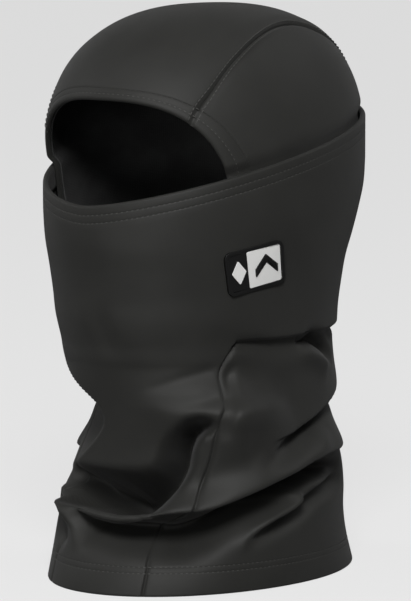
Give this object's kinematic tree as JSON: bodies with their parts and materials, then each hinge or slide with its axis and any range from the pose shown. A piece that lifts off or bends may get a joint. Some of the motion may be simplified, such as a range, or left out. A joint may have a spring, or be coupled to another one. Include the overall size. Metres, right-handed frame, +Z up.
{
  "type": "balaclava",
  "caption": "Hinged winter balaclava: fabric hood with a face opening inside a neck tube whose free top edge pulls down off the face.",
  "frame": {"origin": "on the plane of the bottom edge, under the middle of the head", "axes": "+Z up through the crown, -Y out of the face opening, +X to the wearer's left"},
  "size_m": [0.1644, 0.2183, 0.3247],
  "materials": {
    "shell_fabric": "smooth fine-knit softshell with a soft satin sheen",
    "lining_fabric": "brushed black knit with fine ribs",
    "thread": "twisted polyester sewing thread",
    "label": "blank woven satin label",
    "patch_dark": "moulded soft rubber, matte black",
    "patch_light": "moulded soft rubber, matte white"
  },
  "bodies": {
    "gaiter": {"crown_panel": "shell_fabric", "hood_side_left": "shell_fabric", "hood_side_right": "shell_fabric", "face_opening_hem": "shell_fabric", "hood_lining": "lining_fabric", "face_hem_thread_inner": "thread", "face_hem_thread_outer": "thread", "crown_seam_thread_left_inner": "thread", "crown_seam_thread_left_outer": "thread", "crown_seam_thread_right_inner": "thread", "crown_seam_thread_right_outer": "thread", "front_neck_panel": "shell_fabric", "neck_side_left": "shell_fabric", "neck_side_right": "shell_fabric", "bottom_hem": "shell_fabric", "bottom_hem_thread_upper": "thread", "bottom_hem_thread_lower": "thread", "neck_seam_allowance_left": "lining_fabric", "neck_seam_allowance_right": "lining_fabric", "centre_back_seam_tape": "lining_fabric", "care_label": "label"},
    "mask": {"mask_panel": "shell_fabric", "mask_top_hem": "shell_fabric", "mask_hem_thread_upper": "thread", "mask_hem_thread_lower": "thread", "mask_back_seam_thread": "thread", "patch_base": "patch_dark", "patch_rim": "patch_dark", "patch_dark_field": "patch_dark", "patch_light_field": "patch_light", "patch_light_mark": "patch_light", "patch_dark_mark": "patch_dark"}
  },
  "joints": [
    {"name": "mask_pull_down", "type": "slide", "parent": "gaiter", "child": "mask", "axis": [0, 0, -1], "range_m": [0, 0.08]}
  ]
}
